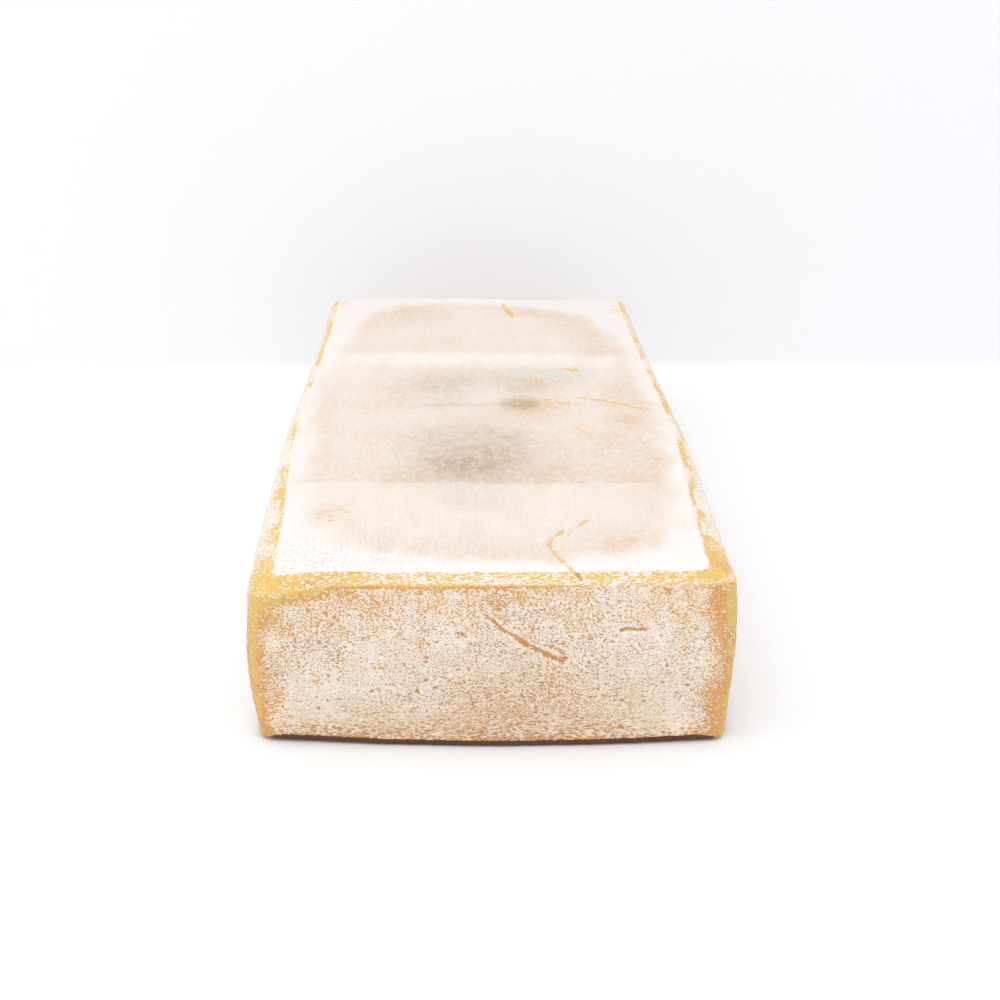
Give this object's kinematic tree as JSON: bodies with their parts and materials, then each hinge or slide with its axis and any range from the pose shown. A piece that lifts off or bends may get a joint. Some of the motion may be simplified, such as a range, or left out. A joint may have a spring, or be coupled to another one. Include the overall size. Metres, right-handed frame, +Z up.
{
  "type": "washed-rind cheese",
  "caption": "Long, flat pressed cheese loaf with a bevelled rim round its top, cloth folds across it, shallow cracks and a pale washed rind.",
  "frame": {"origin": "bottom centre of the loaf's box, on the surface that it lies on", "axes": "+Z up, Y along the length with the pictured end at -Y, X across the width"},
  "size_m": [0.158, 0.3916, 0.0562],
  "materials": {
    "washed_rind": "matt and dry, with a powdery white bloom over an orange-yellow rind"
  },
  "bodies": {
    "root": {"cheese_loaf": "washed_rind"}
  },
  "joints": []
}
